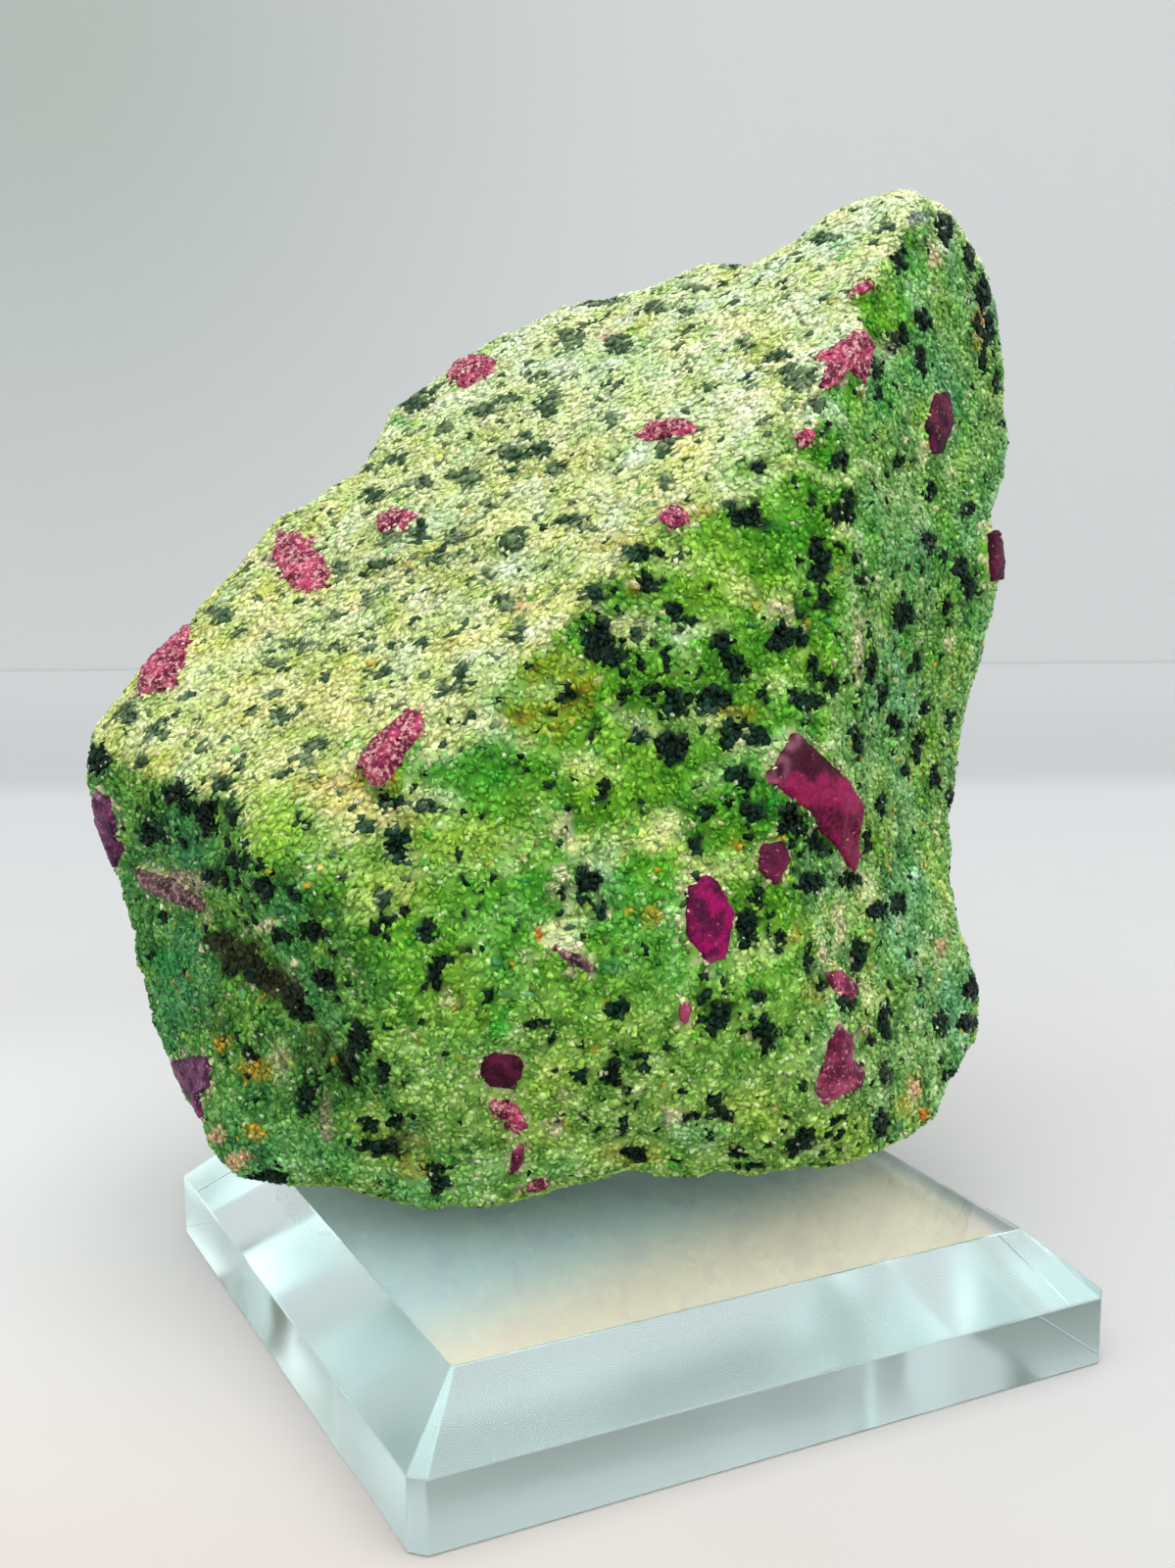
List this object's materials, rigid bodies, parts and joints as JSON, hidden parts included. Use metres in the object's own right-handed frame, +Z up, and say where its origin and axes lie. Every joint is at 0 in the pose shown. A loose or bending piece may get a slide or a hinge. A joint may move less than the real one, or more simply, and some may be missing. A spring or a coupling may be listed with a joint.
{
  "type": "ruby in zoisite specimen on a display block",
  "caption": "Broken block of green zoisite with black hornblende and embedded pink-red ruby crystals, resting on a clear square display block with a bevelled top edge.",
  "frame": {"origin": "middle of the display block's underside", "axes": "+Z up; X and Y along the block's sides, with the rock's peak towards +X and its broad broken face towards -Y"},
  "size_m": [0.1483, 0.123, 0.1607],
  "materials": {
    "clear_block": "polished clear glass with a pale aqua tint",
    "zoisite": "sugary, glassy green grains with black hornblende grains",
    "ruby": "granular pink-red crystal with a satin break"
  },
  "bodies": {
    "root": {"base_block": "clear_block", "zoisite_rock": "zoisite", "ruby_blade": "ruby", "ruby_hexagon": "ruby", "ruby_barrel": "ruby", "ruby_left_crest": "ruby", "ruby_upper_left": "ruby", "ruby_left_edge": "ruby", "ruby_dark_window": "ruby", "ruby_pink_chunk": "ruby", "ruby_streak": "ruby", "ruby_foot": "ruby", "ruby_peak_small": "ruby", "ruby_ridge": "ruby", "ruby_ridge_small": "ruby", "ruby_right_upright": "ruby", "ruby_right_edge": "ruby", "ruby_small_dark": "ruby", "ruby_pink_low": "ruby", "ruby_wedge_low": "ruby", "ruby_back_crest": "ruby", "ruby_slope_flat": "ruby", "ruby_slope_small": "ruby", "ruby_slope_left": "ruby", "ruby_faint": "ruby", "ruby_tiny": "ruby", "ruby_left_low": "ruby", "ruby_left_streak": "ruby", "ruby_back_large": "ruby", "ruby_back_high": "ruby", "ruby_back_foot": "ruby", "ruby_back_left": "ruby", "ruby_back_left_low": "ruby", "ruby_back_right": "ruby", "ruby_back_right_low": "ruby", "ruby_right_waist": "ruby", "ruby_back_underside": "ruby"}
  },
  "joints": []
}
